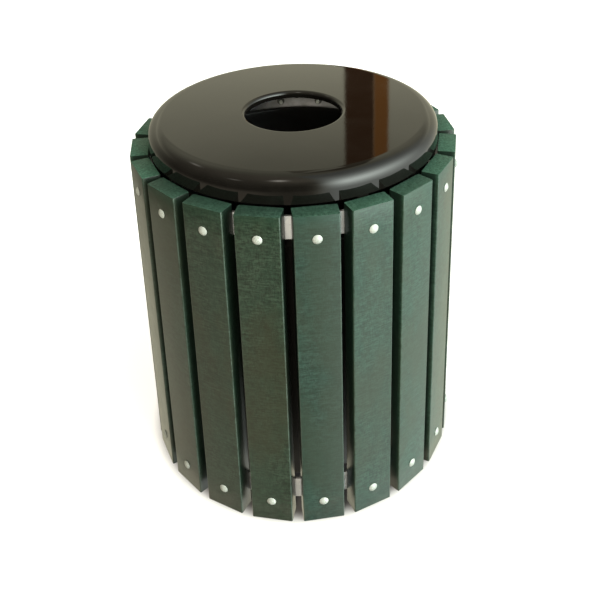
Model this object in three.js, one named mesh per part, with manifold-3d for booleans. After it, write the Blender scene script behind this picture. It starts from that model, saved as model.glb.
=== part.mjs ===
// Round slatted litter bin: a ring of upright recycled-plastic boards bolted to
// two galvanised flat-bar hoops, with a loose rigid liner can and a loose
// flat-top lid that has one central drop hole.
//
// Millimetres, +Z up. The origin is the centre of the ring on the ground.
// Azimuth is counted from -Y towards +X, so a piece modelled at the front (-Y)
// goes to azimuth a by a turn of a about Z. A gap between two boards lies on
// each of the +X, -X, +Y and -Y directions.

import * as THREE from 'three';
import { mergeVertices } from 'three/addons/utils/BufferGeometryUtils.js';
import Module from 'manifold-3d';

const wasm = await Module();
wasm.setup();

// ---------------------------------------------------------------- dimensions
// Radii of the ring, hoops, lid and can are taken from the bin's axis.
const BOARDS = 20;
const PITCH = 360 / BOARDS;        // degrees from board to board
const BOARD_W = 88.9;              // 2x4 lumber, wide face
const BOARD_T = 38.1;              // 2x4 lumber, thickness
const BOARD_L = 752;               // board length, and height of the ring
const BOARD_EDGE = 2.2;            // chamfer of the long edges
const RING_OUTER = 358;            // outer face of a board
const RING_INNER = RING_OUTER - BOARD_T;

const GAP = 0.3;                   // clearance between touching pieces

const BAR_T = 6;                   // hoop flat bar, 6 x 51
const BAR_H = 51;
const TOP_BAR_Z = BOARD_L - 20;    // upper edge of the top hoop
const LOW_BAR_Z = 27 + BAR_H;      // upper edge of the bottom hoop
const BAR_OUTER = RING_INNER - GAP;
const BAR_INNER = BAR_OUTER - BAR_T;
const HOOP_FACETS = 60;            // one facet of the hoop bears on each board

const BOLT_Z_LOW = 52;             // bolt rows above the ground
const BOLT_Z_TOP = BOARD_L - 50;
const BOLT_SEGMENTS = 8;
const SHANK_R = 4.76;              // 3/8 in carriage bolt
const HEAD_R = 9.8;
const HEAD_H = 5;
const HEAD_BREAK_R = HEAD_R * 0.86;   // where the domed head turns flatter
const HEAD_BREAK_H = HEAD_H * 0.62;
const HEAD_SEAT = RING_OUTER + GAP;   // underside of the head
const NECK_W = 9.5;                // square neck under the head
const NECK_L = 6;
const BOLT_TIP = 299;              // tip of the bolt from the bin's axis

const BOLT_HOLE_R = 5.6;
const BOARD_OVERCUT = 10;          // extra length of the cutter through a board
const BAR_OVERCUT = 8;             // extra length of the cutter through a hoop
const POCKET_W = 10.3;             // square pocket for the neck
const POCKET_DEPTH = NECK_L + 1;
const POCKET_OVERCUT = 1;          // cutter's reach outside the board

const NUT_SIDES = 6;
const NUT_SEAT = BAR_INNER - GAP;  // nut's face against the hoop
const NUT_FLANGE_R = 9.6;          // serrated flange nut, 9/16 in across flats
const NUT_FLANGE_T = 1.6;
const NUT_HEX_START = 2.2;         // from the seat to the full hexagon
const NUT_HEX_R = 8.25;
const NUT_H = 8.6;
const NUT_BORE_R = 5.9;

const LINK = 1.2;                  // section of the hairline ring that ties a row
const BOLT_LINK_INSET = 0.4;       // bolt tip to the inner side of its link
const NUT_LINK_INSET = 2;          // nut's inner end to the inner side of its link
const NUT_LINK_DROP = 7.05;        // centre of the nut link below the bolt centres

const LID_SEGMENTS = 60;
const LID_R = RING_INNER - 1.3;    // upright side of the lid, just inside the boards
const LID_TOP = BOARD_L + 58.6;    // the flat top
const LID_HEM_Z = BOARD_L + 2;     // lower edge of the lid
const LID_WALL = 4;
const HEM_BEVEL_W = 1;             // bevel outside the lower edge
const HEM_BEVEL_H = 1.5;
const SHOULDER_R = 30.6;           // round shoulder between the side and the top
const SHOULDER_STEPS = 8;
const HOLE_R = 106.6;              // clear radius of the drop hole
const LIP_R = 8.2;                 // rolled edge of the drop hole
const LIP_STEPS = 3;
const LIP_DEPTH = 16;              // lip, below the flat top

const LUGS = 4;                    // feet under the lid that stand on the hoop
const LUG_AZIMUTH = azimuthOf(1);  // the first one, behind a board
const LUG_W = 24;
const LUG_OUTER = RING_INNER - 2.1;
const LUG_INNER = LID_R - LID_WALL - 3;
const LUG_SHOULDER_Z = LID_HEM_Z + 5;
const LUG_PEAK_Z = LID_HEM_Z + 8;
const LUG_PEAK_INSET = 1;          // peak, inside the thickness of the lid's wall

const CAN_SEGMENTS = 40;
const CAN_H = 700;                 // liner can
const CAN_RIM_R = 281;
const CAN_TOP_R = 270;
const CAN_BASE_R = 233;
const CAN_WALL = 3.5;

// ------------------------------------------------------------------ materials
const { MeshStandardMaterial } = THREE;
const boardGreen = new MeshStandardMaterial({ color: 0x24382e, roughness: 0.62, metalness: 0 });
const galvanised = new MeshStandardMaterial({ color: 0xb9bab4, roughness: 0.42, metalness: 0.9 });
const zinc = new MeshStandardMaterial({ color: 0xd6d8d4, roughness: 0.3, metalness: 1 });
const glossBlack = new MeshStandardMaterial({ color: 0x0c0b0a, roughness: 0.08, metalness: 0 });
const canBlack = new MeshStandardMaterial({ color: 0x141414, roughness: 0.55, metalness: 0 });

// -------------------------------------------------------------------- helpers
const { degToRad } = THREE.MathUtils;

// Azimuth in degrees of the board with a given index.
function azimuthOf(index) {
  return PITCH / 2 + index * PITCH;
}

const around = (geometry, azimuth) => geometry.clone().rotateZ(degToRad(azimuth));

// Only positions, shared vertices merged, no collapsed triangles, faces out.
function closed(geometry) {
  const bare = new THREE.BufferGeometry();
  bare.setAttribute('position', geometry.getAttribute('position'));
  bare.setIndex(geometry.index);
  const merged = mergeVertices(bare, 1e-3);

  const position = merged.getAttribute('position');
  const corner = (index) => new THREE.Vector3().fromBufferAttribute(position, index);
  const indices = merged.index.array;
  const triangles = [];
  let volume = 0;
  for (let i = 0; i < indices.length; i += 3) {
    const [first, second, third] = indices.slice(i, i + 3);
    if (first === second || second === third || first === third) continue;
    triangles.push(first, second, third);
    volume += corner(first).dot(corner(second).cross(corner(third)));
  }
  // A negative volume means that the faces point inwards.
  if (volume < 0) {
    for (let i = 0; i < triangles.length; i += 3) {
      [triangles[i], triangles[i + 1]] = [triangles[i + 1], triangles[i]];
    }
  }
  merged.setIndex(triangles);
  return merged;
}

function solid(geometry) {
  const mesh = closed(geometry);
  return new wasm.Manifold(new wasm.Mesh({
    numProp: 3,
    vertProperties: new Float32Array(mesh.getAttribute('position').array),
    triVerts: new Uint32Array(mesh.index.array),
  }));
}

function geometryOf(manifold) {
  const mesh = manifold.getMesh();
  const positions = new Float32Array(mesh.vertProperties);
  const geometry = new THREE.BufferGeometry();
  geometry.setAttribute('position', new THREE.BufferAttribute(positions, 3));
  geometry.setIndex(new THREE.BufferAttribute(new Uint32Array(mesh.triVerts), 1));
  return geometry;
}

const vectors = (pairs) => pairs.map(([x, y]) => new THREE.Vector2(x, y));

// A turned piece about Z from [radius, height] pairs.
function turned(pairs, segments, startDeg = 0) {
  const geometry = new THREE.LatheGeometry(vectors(pairs), segments, degToRad(startDeg));
  return closed(geometry.rotateX(Math.PI / 2));
}

// A fastener at the front, turned about Y, from pairs of its own radius and
// the distance from the bin's axis.
function turnedFastener(pairs, segments, startDeg = 0) {
  const profile = vectors(pairs.map(([radius, distance]) => [radius, -distance]));
  return new THREE.LatheGeometry(profile, segments, degToRad(startDeg));
}

// A straight extrusion along Z of an outline of [x, y] points.
function extruded(points, depth) {
  const shape = new THREE.Shape(vectors(points));
  shape.closePath();
  return new THREE.ExtrudeGeometry(shape, { depth, bevelEnabled: false });
}

// The closed profile of a ring with a rectangular section.
const rectangle = (inner, outer, lower, upper) => [
  [inner, lower], [outer, lower], [outer, upper], [inner, upper], [inner, lower],
];

// A cutter for a bolt hole at the front, centred at a distance from the axis.
function boltHole(distance, length, z) {
  const hole = new THREE.CylinderGeometry(BOLT_HOLE_R, BOLT_HOLE_R, length, BOLT_SEGMENTS);
  return hole.translate(0, -distance, z);
}

function piece(parent, name, geometry, material) {
  geometry.computeVertexNormals();
  const mesh = new THREE.Mesh(geometry, material);
  mesh.name = name;
  parent.add(mesh);
  return mesh;
}

// --------------------------------------------------------------------- boards
// One board, standing at the front of the ring: a square-cut length of 2x4 with
// eased long edges, two bolt holes and a square pocket for each bolt's neck.
function boardGeometry() {
  const side = BOARD_W / 2;
  const front = -RING_OUTER;
  const back = -RING_INNER;
  const edge = BOARD_EDGE;
  let board = solid(extruded([
    [-side + edge, front], [side - edge, front],
    [side, front + edge], [side, back - edge],
    [side - edge, back], [-side + edge, back],
    [-side, back - edge], [-side, front + edge],
  ], BOARD_L));
  for (const z of [BOLT_Z_LOW, BOLT_Z_TOP]) {
    const hole = boltHole((RING_OUTER + RING_INNER) / 2, BOARD_T + BOARD_OVERCUT, z);
    const pocket = new THREE.BoxGeometry(POCKET_W, POCKET_DEPTH + POCKET_OVERCUT, POCKET_W);
    pocket.translate(0, front + (POCKET_DEPTH - POCKET_OVERCUT) / 2, z);
    board = board.subtract(solid(hole)).subtract(solid(pocket));
  }
  return geometryOf(board);
}

function addBoards(parent) {
  const geometry = boardGeometry();
  for (let k = 0; k < BOARDS; k++) {
    const name = `slat_${String(k + 1).padStart(2, '0')}`;
    const board = piece(parent, name, geometry.clone(), boardGreen);
    board.rotation.z = degToRad(azimuthOf(k));
  }
}

// ---------------------------------------------------------------------- hoops
// Rolled and butt-welded flat bar. The flat facets lie parallel to the boards'
// inner faces, with a clearance of GAP.
function hoop(upperEdge, boltZ) {
  const cornerRatio = Math.cos(degToRad(180 / HOOP_FACETS));   // facet to corner radius
  const inner = BAR_INNER / cornerRatio;
  const outer = BAR_OUTER / cornerRatio;
  let bar = solid(turned(rectangle(inner, outer, upperEdge - BAR_H, upperEdge), HOOP_FACETS));
  const hole = boltHole(BAR_OUTER - BAR_T / 2, BAR_T + BAR_OVERCUT, boltZ);
  for (let k = 0; k < BOARDS; k++) {
    bar = bar.subtract(solid(around(hole, azimuthOf(k))));
  }
  return geometryOf(bar);
}

// ------------------------------------------------------------------ fasteners
// Copies of a front fastener round the ring, made one body by a hairline ring
// of a given inner radius and centre height.
function fastenerRow(fastener, linkInner, linkZ) {
  const link = rectangle(linkInner, linkInner + LINK, linkZ - LINK / 2, linkZ + LINK / 2);
  let row = solid(turned(link, BOARDS, PITCH / 2));
  for (let k = 0; k < BOARDS; k++) {
    row = row.add(solid(around(fastener, azimuthOf(k))));
  }
  return geometryOf(row);
}

// Carriage bolts, linked through the shanks close to their tips.
function boltRow(z) {
  const body = turnedFastener([
    [0, BOLT_TIP], [SHANK_R, BOLT_TIP], [SHANK_R, HEAD_SEAT], [HEAD_R, HEAD_SEAT],
    [HEAD_BREAK_R, HEAD_SEAT + HEAD_BREAK_H], [0, HEAD_SEAT + HEAD_H],
  ], BOLT_SEGMENTS, 180 / BOLT_SEGMENTS);
  const neck = new THREE.BoxGeometry(NECK_W, NECK_L, NECK_W);
  neck.translate(0, -HEAD_SEAT + NECK_L / 2, 0);
  const bolt = geometryOf(solid(body).add(solid(neck)));
  bolt.translate(0, 0, z);
  return fastenerRow(bolt, BOLT_TIP + BOLT_LINK_INSET, z);
}

// Flange nuts on the hoop's inner face, linked below the bolts.
function nutRow(z) {
  const end = NUT_SEAT - NUT_H;
  const nut = turnedFastener([
    [NUT_BORE_R, NUT_SEAT], [NUT_FLANGE_R, NUT_SEAT],
    [NUT_FLANGE_R, NUT_SEAT - NUT_FLANGE_T], [NUT_HEX_R, NUT_SEAT - NUT_HEX_START],
    [NUT_HEX_R, end], [NUT_BORE_R, end], [NUT_BORE_R, NUT_SEAT],
  ], NUT_SIDES);
  nut.translate(0, 0, z);
  return fastenerRow(closed(nut), end + NUT_LINK_INSET, z - NUT_LINK_DROP);
}

// ------------------------------------------------------------------------ lid
// A [radius, height] point on an arc, the angle counted from outwards to up.
function onArc([centreR, centreZ], radius, degrees) {
  const angle = degToRad(degrees);
  return [centreR + radius * Math.cos(angle), centreZ + radius * Math.sin(angle)];
}

// The shell's closed section: an upright side, a round shoulder, a flat top and
// a rolled lip round the drop hole. Both sides run from the hem to the lip.
function lidProfile() {
  const wall = LID_WALL;
  const shoulder = [LID_R - SHOULDER_R, LID_TOP - SHOULDER_R];
  const lip = [HOLE_R + LIP_R, LID_TOP - LIP_R];
  const lipEnd = LID_TOP - LIP_DEPTH;

  const outer = [
    [LID_R - HEM_BEVEL_W, LID_HEM_Z], [LID_R, LID_HEM_Z + HEM_BEVEL_H], [LID_R, shoulder[1]],
  ];
  const inner = [[LID_R - wall, LID_HEM_Z], [LID_R - wall, shoulder[1]]];
  for (let i = 1; i <= SHOULDER_STEPS; i++) {
    const angle = (90 * i) / SHOULDER_STEPS;
    outer.push(onArc(shoulder, SHOULDER_R, angle));
    // The inner side has half as many steps.
    if (i % 2 === 0) inner.push(onArc(shoulder, SHOULDER_R - wall, angle));
  }
  for (let i = 0; i <= LIP_STEPS; i++) {
    outer.push(onArc(lip, LIP_R, 90 + (90 * i) / LIP_STEPS));
  }
  outer.push([HOLE_R, lipEnd]);
  inner.push([lip[0], LID_TOP - wall], onArc(lip, LIP_R - wall, 180), [HOLE_R + wall, lipEnd]);
  return [...outer, ...inner.reverse(), outer[0]];
}

// A lug at the front, drawn as radius and height, then given its width. It
// merges into the side wall above the lower edge.
function lidLug() {
  const foot = TOP_BAR_Z + GAP;
  const lug = extruded([
    [LUG_INNER, foot], [LUG_OUTER, foot], [LUG_OUTER, LUG_SHOULDER_Z],
    [LID_R - LID_WALL + LUG_PEAK_INSET, LUG_PEAK_Z], [LUG_INNER, LUG_SHOULDER_Z],
  ], LUG_W);
  lug.translate(0, 0, -LUG_W / 2);
  lug.rotateX(Math.PI / 2);      // radius stays on X, height on Z, width on Y
  lug.rotateZ(-Math.PI / 2);     // radius to -Y
  return lug;
}

function lid() {
  let shell = solid(turned(lidProfile(), LID_SEGMENTS));
  const lug = lidLug();
  for (let k = 0; k < LUGS; k++) {
    shell = shell.add(solid(around(lug, LUG_AZIMUTH + (k * 360) / LUGS)));
  }
  return geometryOf(shell);
}

// ---------------------------------------------------------------------- liner
// A tapered can with a rolled rim and a raised floor on a foot ring.
function liner() {
  // [radius, height], from the floor's underside, up the outside and down the inside.
  const profile = [
    [0, 7], [205, 7], [210, 0.5], [CAN_BASE_R - 5, 0.5], [CAN_BASE_R, 5],
    [CAN_TOP_R - 4, CAN_H - 70], [CAN_TOP_R, CAN_H - 62], [CAN_TOP_R + 1, CAN_H - 20],
    [CAN_RIM_R - 2, CAN_H - 17], [CAN_RIM_R, CAN_H - 8], [CAN_RIM_R - 4, CAN_H],
    [CAN_TOP_R, CAN_H], [CAN_TOP_R - 3, CAN_H - 5],
    [CAN_TOP_R - CAN_WALL, CAN_H - 61], [CAN_TOP_R - 4 - CAN_WALL, CAN_H - 69],
    [CAN_BASE_R - CAN_WALL, 11], [0, 11],
  ];
  return turned(profile, CAN_SEGMENTS);
}

// ------------------------------------------------------------------- assembly
const bin = new THREE.Group();
const ring = new THREE.Group();
bin.add(ring);

addBoards(ring);
piece(ring, 'top_hoop', hoop(TOP_BAR_Z, BOLT_Z_TOP), galvanised);
piece(ring, 'bottom_hoop', hoop(LOW_BAR_Z, BOLT_Z_LOW), galvanised);
piece(ring, 'bolts_top', boltRow(BOLT_Z_TOP), zinc);
piece(ring, 'bolts_bottom', boltRow(BOLT_Z_LOW), zinc);
piece(ring, 'flange_nuts_top', nutRow(BOLT_Z_TOP), zinc);
piece(ring, 'flange_nuts_bottom', nutRow(BOLT_Z_LOW), zinc);
piece(bin, 'lid', lid(), glossBlack);
piece(bin, 'liner', liner(), canBlack);

export default bin;
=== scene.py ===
import bpy
import bmesh
import math
import random
from mathutils import Matrix, Vector


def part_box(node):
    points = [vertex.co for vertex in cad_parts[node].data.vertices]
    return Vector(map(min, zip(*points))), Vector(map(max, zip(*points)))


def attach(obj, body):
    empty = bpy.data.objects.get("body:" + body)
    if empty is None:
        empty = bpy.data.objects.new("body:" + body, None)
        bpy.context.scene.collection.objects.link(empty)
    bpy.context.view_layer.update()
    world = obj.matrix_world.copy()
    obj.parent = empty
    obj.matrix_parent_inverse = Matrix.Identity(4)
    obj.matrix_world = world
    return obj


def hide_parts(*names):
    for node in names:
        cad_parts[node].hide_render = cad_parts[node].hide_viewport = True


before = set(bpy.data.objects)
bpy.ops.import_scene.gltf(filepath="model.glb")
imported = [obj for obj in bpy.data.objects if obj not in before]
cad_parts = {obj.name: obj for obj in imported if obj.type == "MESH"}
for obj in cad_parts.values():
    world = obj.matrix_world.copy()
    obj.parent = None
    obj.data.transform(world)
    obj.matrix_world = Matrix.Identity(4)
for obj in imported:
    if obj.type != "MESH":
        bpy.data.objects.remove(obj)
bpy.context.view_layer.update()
random.seed(7)

# ------------------------------------------------------------------ dimensions
# Millimetres, as in the CAD source; mesh code turns them into metres.
MM = 0.001
BOARDS = 20
PITCH = 360.0 / BOARDS
BOARD_W, BOARD_T = 88.9, 38.1
lo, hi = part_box("slat_01")
BOARD_L = round(hi.z / MM, 2)
RING_A = 358.0
RING_INNER = RING_A - BOARD_T
GAP = 0.3
BAR_T, BAR_H = 6.0, 51.0
TOP_BAR_Z = round(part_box("top_hoop")[1].z / MM, 2)
LOW_BAR_Z = round(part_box("bottom_hoop")[1].z / MM, 2)
BOLT_Z_LOW, BOLT_Z_TOP = 52.0, BOARD_L - 50.0
LID_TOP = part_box("lid")[1].z / MM - 0.02
CAN_H = round(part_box("liner")[1].z / MM, 2)

scene = bpy.context.scene


# --------------------------------------------------------------- mesh helpers
def new_object(name, mesh, body, materials=()):
    obj = bpy.data.objects.new(name, mesh)
    scene.collection.objects.link(obj)
    for m in materials:
        obj.data.materials.append(m)
    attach(obj, body)
    return obj


def mesh_of(name, verts, faces, smooth=True, sharp_deg=None, scale=MM):
    me = bpy.data.meshes.new(name)
    me.from_pydata([(x * scale, y * scale, z * scale) for x, y, z in verts], [], faces)
    me.validate()
    bm = bmesh.new()
    bm.from_mesh(me)
    bmesh.ops.remove_doubles(bm, verts=bm.verts, dist=1e-7)
    bmesh.ops.recalc_face_normals(bm, faces=bm.faces)
    for f in bm.faces:
        f.smooth = smooth
    if sharp_deg is not None:
        lim = math.radians(sharp_deg)
        for e in bm.edges:
            if len(e.link_faces) == 2 and e.calc_face_angle(0.0) > lim:
                e.smooth = False
    bm.to_mesh(me)
    bm.free()
    me.update()
    return me


def lathe(name, profile, segments, sharp_deg=32, closed=True, wobble=None, angles=None):
    """Turns [radius, height] pairs about Z. closed: the profile is a loop; else it
    starts and ends on the axis. wobble(r, z, a) returns a new (r, z)."""
    verts, faces = [], []
    if angles is None:
        angles = [2 * math.pi * i / segments for i in range(segments)]
    n = len(angles)
    rows = []
    for r, z in profile:
        if r < 1e-6:
            verts.append((0.0, 0.0, z))
            rows.append([len(verts) - 1] * n)
            continue
        row = []
        for a in angles:
            rr, zz = wobble(r, z, a) if wobble else (r, z)
            verts.append((rr * math.sin(a), -rr * math.cos(a), zz))
            row.append(len(verts) - 1)
        rows.append(row)
    pairs = list(zip(rows, rows[1:]))
    if closed:
        pairs.append((rows[-1], rows[0]))
    for ra, rb in pairs:
        for i in range(n):
            j = (i + 1) % n
            quad = []
            for v in (ra[i], ra[j], rb[j], rb[i]):
                if v not in quad:
                    quad.append(v)
            if len(quad) >= 3:
                faces.append(quad)
    return mesh_of(name, verts, faces, True, sharp_deg)


def arc(cx, cz, rx, rz, a0, a1, n, skip_first=False):
    out = []
    for i in range(n + 1):
        if i == 0 and skip_first:
            continue
        t = math.radians(a0 + (a1 - a0) * i / n)
        out.append((cx + rx * math.cos(t), cz + rz * math.sin(t)))
    return out


# ----------------------------------------------------------- material helpers
class Nodes:
    def __init__(self, name):
        self.m = bpy.data.materials.new(name)
        self.m.use_nodes = True
        self.t = self.m.node_tree
        self.t.nodes.clear()
        self.out = self.t.nodes.new("ShaderNodeOutputMaterial")
        self.bsdf = self.t.nodes.new("ShaderNodeBsdfPrincipled")
        self.link(self.bsdf, 0, self.out, 0)

    def link(self, a, ao, b, bi):
        self.t.links.new(a.outputs[ao], b.inputs[bi])

    def add(self, kind, **inputs):
        n = self.t.nodes.new(kind)
        for k, v in inputs.items():
            key = k.replace("_", " ")
            if hasattr(v, "outputs"):
                v = (v, 0)
            if isinstance(v, tuple) and len(v) == 2 and hasattr(v[0], "outputs"):
                self.t.links.new(v[0].outputs[v[1]], n.inputs[key])
            elif key in n.inputs:
                n.inputs[key].default_value = v
            else:
                setattr(n, k, v)
        return n

    def set(self, key, v):
        if hasattr(v, "outputs"):
            v = (v, 0)
        if isinstance(v, tuple) and len(v) == 2 and hasattr(v[0], "outputs"):
            self.t.links.new(v[0].outputs[v[1]], self.bsdf.inputs[key])
        else:
            self.bsdf.inputs[key].default_value = v

    def math(self, op, a, b=0.0, c=None, clamp=False):
        n = self.t.nodes.new("ShaderNodeMath")
        n.operation = op
        n.use_clamp = clamp
        for i, v in enumerate((a, b, c)):
            if v is None:
                continue
            if hasattr(v, "outputs"):
                v = (v, 0)
            if isinstance(v, tuple):
                self.t.links.new(v[0].outputs[v[1]], n.inputs[i])
            else:
                n.inputs[i].default_value = v
        return n

    def mix(self, fac, a, b):
        """Colour mix; a and b are colours or (node, socket)."""
        n = self.t.nodes.new("ShaderNodeMix")
        n.data_type = "RGBA"
        for i, v in ((0, fac), (6, a), (7, b)):
            if hasattr(v, "outputs"):
                v = (v, 0)
            if isinstance(v, tuple) and len(v) == 2 and hasattr(v[0], "outputs"):
                self.t.links.new(v[0].outputs[v[1]], n.inputs[i])
            elif isinstance(v, (int, float)):
                n.inputs[i].default_value = v
            else:
                n.inputs[i].default_value = (*v, 1.0) if len(v) == 3 else v
        return (n, 2)

    def ramp(self, src, stops):
        n = self.t.nodes.new("ShaderNodeMapRange")
        lo_, hi_, a, b = stops
        n.interpolation_type = "SMOOTHSTEP"
        for i, v in ((1, lo_), (2, hi_), (3, a), (4, b)):
            n.inputs[i].default_value = v
        if hasattr(src, "outputs"):
            src = (src, 0)
        self.t.links.new(src[0].outputs[src[1]], n.inputs[0])
        return n

    def noise(self, vec, scale, detail=4.0, rough=0.5, distortion=0.0):
        n = self.t.nodes.new("ShaderNodeTexNoise")
        n.inputs["Scale"].default_value = scale
        n.inputs["Detail"].default_value = detail
        n.inputs["Roughness"].default_value = rough
        n.inputs["Distortion"].default_value = distortion
        if vec is not None:
            self.t.links.new(vec[0].outputs[vec[1]], n.inputs["Vector"])
        return n

    def mapping(self, vec, scale=(1, 1, 1), location=(0, 0, 0)):
        n = self.t.nodes.new("ShaderNodeMapping")
        n.inputs["Scale"].default_value = scale
        n.inputs["Location"].default_value = location
        self.t.links.new(vec[0].outputs[vec[1]], n.inputs["Vector"])
        return n

    def bump(self, height, distance, strength=1.0, under=None):
        n = self.t.nodes.new("ShaderNodeBump")
        n.inputs["Distance"].default_value = distance
        n.inputs["Strength"].default_value = strength
        if hasattr(height, "outputs"):
            height = (height, 0)
        self.t.links.new(height[0].outputs[height[1]], n.inputs["Height"])
        if under is not None:
            self.t.links.new(under.outputs[0], n.inputs["Normal"])
        return n


def board_material():
    k = Nodes("recycled_board")
    tc = k.add("ShaderNodeTexCoord")
    info = k.add("ShaderNodeObjectInfo")
    shift = k.t.nodes.new("ShaderNodeCombineXYZ")
    k.link(k.math("MULTIPLY", (info, 5), 7.3), 0, shift, 0)
    k.link(k.math("MULTIPLY", (info, 5), 3.1), 0, shift, 1)
    k.link(k.math("MULTIPLY", (info, 5), 11.7), 0, shift, 2)
    add = k.t.nodes.new("ShaderNodeVectorMath")
    add.operation = "ADD"
    k.link(tc, 3, add, 0)
    k.link(shift, 0, add, 1)
    own = (add, 0)
    sep = k.t.nodes.new("ShaderNodeSeparateXYZ")
    k.link(tc, 3, sep, 0)
    geo = k.add("ShaderNodeNewGeometry")
    nsep = k.t.nodes.new("ShaderNodeSeparateXYZ")
    k.link(geo, 1, nsep, 0)
    end = k.ramp(k.math("ABSOLUTE", (nsep, 2)), (0.75, 0.95, 0.0, 1.0))

    # cloudy colour of the melt, stretched along the board
    cloud = k.noise((k.mapping(own, (11, 11, 3.0)), 0), 1.0, 5, 0.6, 0.5)
    mottle = k.noise((k.mapping(own, (75, 75, 48)), 0), 1.0, 4, 0.62)
    fleck = k.noise(own, 620.0, 2, 0.5)
    # fine ripples across the face, and long faint drag lines
    ripple = k.noise((k.mapping(own, (26, 26, 300)), 0), 1.0, 2, 0.5)
    weave = k.noise((k.mapping(own, (95, 95, 400)), 0), 1.0, 2, 0.5)
    warp = k.noise((k.mapping(own, (400, 400, 120)), 0), 1.0, 2, 0.5)
    tuft = k.noise((k.mapping(own, (20, 20, 8)), 0), 1.0, 4, 0.6)
    drag = k.noise((k.mapping(own, (520, 520, 5)), 0), 1.0, 3, 0.55)

    face = k.mix(k.ramp(cloud, (0.34, 0.66, 0, 1)), (0.0135, 0.0320, 0.0205), (0.0215, 0.0455, 0.0315))
    face = k.mix(k.ramp(mottle, (0.36, 0.70, 0, 0.60)), face, (0.0300, 0.0540, 0.0385))
    face = k.mix(k.ramp(mottle, (0.50, 0.30, 0, 0.50)), face, (0.0095, 0.0250, 0.0165))
    face = k.mix(k.ramp(ripple, (0.40, 0.66, 0, 0.50)), face, (0.0360, 0.0620, 0.0450))
    face = k.mix(k.ramp(ripple, (0.62, 0.34, 0, 0.30)), face, (0.0115, 0.0250, 0.0165))
    cloth = k.math("ADD", k.math("MULTIPLY", weave, 0.58), k.math("MULTIPLY", warp, 0.42))
    shade = k.t.nodes.new("ShaderNodeVectorMath")
    shade.operation = "SCALE"
    k.link(face[0], face[1], shade, 0)
    k.link(k.ramp(cloth, (0.36, 0.64, 0.58, 1.50)), 0, shade, 3)
    face = (shade, 0)
    face = k.mix(k.ramp(tuft, (0.44, 0.66, 0, 0.35)), face, (0.0180, 0.0500, 0.0340))
    face = k.mix(k.ramp(fleck, (0.66, 0.74, 0, 0.5)), face, (0.075, 0.105, 0.080))
    brown = k.noise((k.mapping(own, (7, 7, 3.2)), 0), 1.0, 4, 0.6)
    face = k.mix(k.ramp(brown, (0.42, 0.64, 0, 0.55)), face, (0.0330, 0.0360, 0.0200))
    face = k.mix(k.ramp((info, 5), (0.0, 1.0, 0.0, 0.18)), face, (0.0270, 0.0440, 0.0320))
    # less handled near the sawn top
    fresh = k.ramp((sep, 2), ((BOARD_L - 28) * MM, (BOARD_L - 2) * MM, 0.0, 0.34))
    face = k.mix(fresh, face, (0.0180, 0.0520, 0.0350))

    # sawn ends: fresher colour, coarse grain and saw lines
    saw_map = k.mapping(own, (900, 40, 1))
    saw = k.noise((saw_map, 0), 1.0, 3, 0.6)
    pore = k.noise(own, 210.0, 5, 0.68)
    patch = k.noise(own, 60.0, 3, 0.55)
    cut = k.mix(k.ramp(pore, (0.38, 0.64, 0, 1)), (0.006, 0.034, 0.021), (0.036, 0.098, 0.068))
    cut = k.mix(k.ramp(patch, (0.40, 0.66, 0, 0.55)), cut, (0.014, 0.052, 0.034))
    cut = k.mix(k.ramp(saw, (0.42, 0.74, 0, 0.45)), cut, (0.058, 0.120, 0.088))
    # each board's own colour multiplied in: partly its moulding tone, partly painted light (paler and cooler on the
    # right, darker and warmer at front left)
    tint_and_light = k.t.nodes.new("ShaderNodeVectorMath")
    tint_and_light.operation = "MULTIPLY"
    k.link(face[0], face[1], tint_and_light, 0)
    k.link(info, 1, tint_and_light, 1)
    face = (tint_and_light, 0)
    paler = k.t.nodes.new("ShaderNodeVectorMath")
    paler.operation = "SCALE"
    k.link(cut[0], cut[1], paler, 0)
    k.link(info, 2, paler, 3)
    cut = (paler, 0)
    col = k.mix((end, 0), face, cut)

    # long edges lighter, partly rubbed wear and partly painted highlight on the rounded edges: distance to the nearest
    # long edge in the board's section
    ex = k.math("SUBTRACT", BOARD_W / 2 * MM, k.math("ABSOLUTE", (sep, 0)))
    ey = k.math("SUBTRACT", BOARD_T / 2 * MM, k.math("ABSOLUTE", k.math("ADD", (sep, 1), (RING_A - BOARD_T / 2) * MM)))
    dist = k.math("MAXIMUM", ex, ey)
    rub_and_highlight = k.math("MULTIPLY", k.ramp(dist, (0.0004, 0.0030, 1.0, 0.0)), k.ramp(k.noise(own, 45.0, 5, 0.6), (0.36, 0.62, 0.15, 1.0)))
    col = k.mix(k.math("MULTIPLY", rub_and_highlight, 0.55), col, (0.085, 0.128, 0.106))
    # a little dust low down
    low = k.math("MULTIPLY", k.ramp((sep, 2), (0.0, 0.11, 0.55, 0.0)), k.ramp(k.noise(own, 30.0, 5, 0.6), (0.35, 0.7, 0.0, 1.0)))
    col = k.mix(k.math("MULTIPLY", low, 0.35), col, (0.13, 0.13, 0.11))
    # painted shade between the boards: the side faces darkened to near black, away from the outer face
    painted_gap_shade = k.math("MULTIPLY", k.ramp(ex, (0.0004, 0.0010, 1.0, 0.0)), k.ramp(k.math("ADD", (sep, 1), RING_A * MM), (0.001, 0.011, 0.0, 1.0)))
    col = k.mix(k.math("MULTIPLY", k.math("MULTIPLY", painted_gap_shade, 0.80), k.math("SUBTRACT", 1.0, (end, 0))), col, (0.003, 0.007, 0.005))
    k.set("Base Color", col)

    rough = k.math("ADD", k.math("MULTIPLY", ripple, 0.08), k.math("ADD", k.math("MULTIPLY", mottle, 0.12), 0.22))
    rough = k.math("ADD", rough, k.math("MULTIPLY", (end, 0), 0.34), clamp=True)
    k.set("Roughness", rough)
    k.set("IOR", 1.5)

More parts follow.
